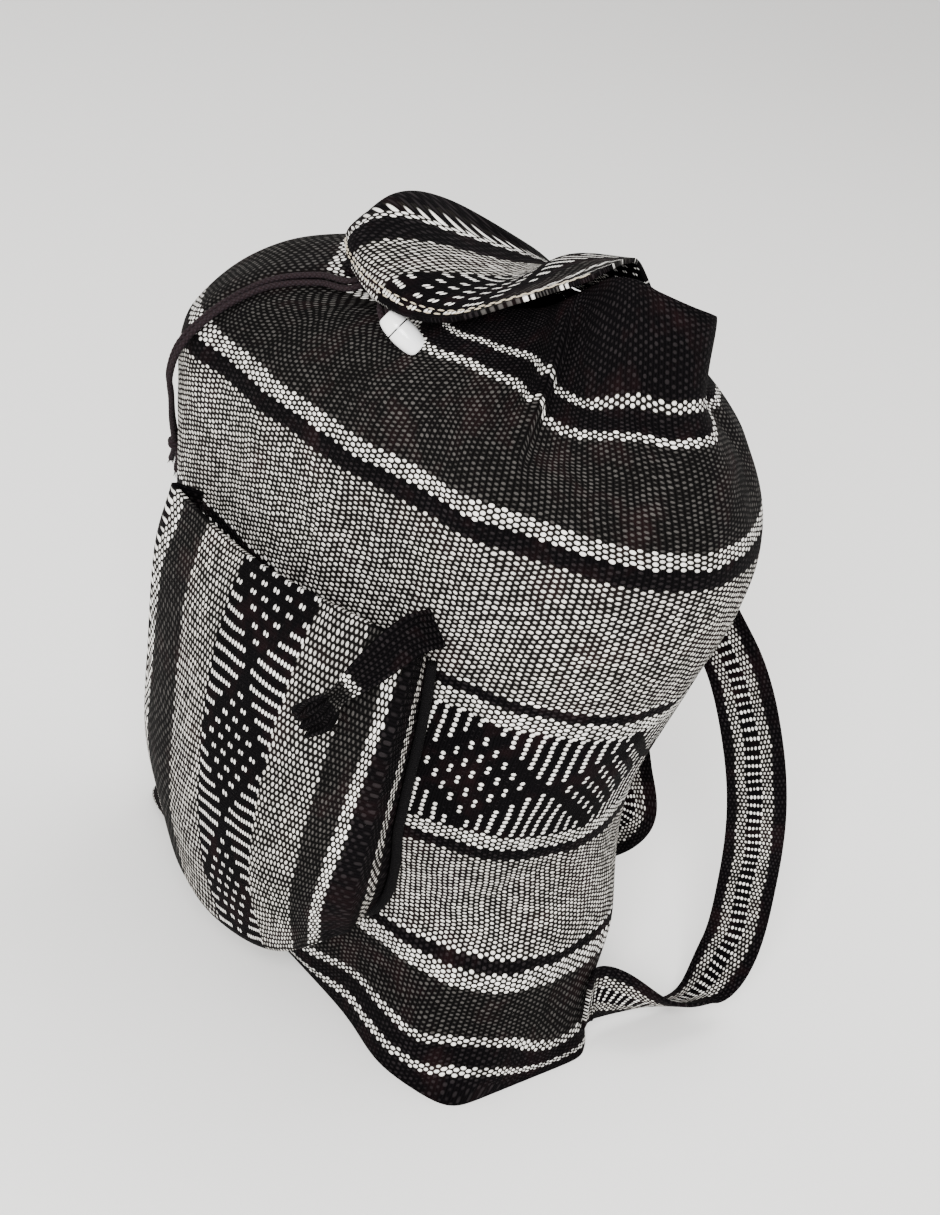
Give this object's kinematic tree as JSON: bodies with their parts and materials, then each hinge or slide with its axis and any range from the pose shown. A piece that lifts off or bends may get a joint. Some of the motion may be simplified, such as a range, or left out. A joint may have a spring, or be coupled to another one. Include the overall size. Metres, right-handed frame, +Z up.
{
  "type": "drawstring backpack",
  "caption": "Striped handwoven cloth backpack with a drawstring mouth, top flap, front pocket with tab, and woven shoulder straps.",
  "frame": {"origin": "middle of the flat base, on the surface that the bag stands on", "axes": "+Z up, the front with the pocket faces -Y, +X is the right side seen from the front"},
  "size_m": [0.3506, 0.2699, 0.4459],
  "materials": {
    "striped_cloth": "matte handwoven cloth",
    "pocket_cloth": "matte handwoven cloth",
    "flap_cloth": "matte handwoven cloth",
    "binding": "matte black piping",
    "tab_cloth": "matte handwoven cloth",
    "cord": "matte braided cord",
    "bead": "glossy",
    "belt": "matte woven belt"
  },
  "bodies": {
    "root": {"body": "striped_cloth", "pocket": "pocket_cloth", "pocket_binding": "binding", "pocket_tab": "tab_cloth", "flap": "flap_cloth", "drawstring_strand_a": "cord", "drawstring_strand_b": "cord", "bead": "bead", "drawstring_knot": "cord", "drawstring_tail_a": "cord", "drawstring_tail_b": "cord", "strap_right": "belt", "strap_left": "belt"}
  },
  "joints": []
}
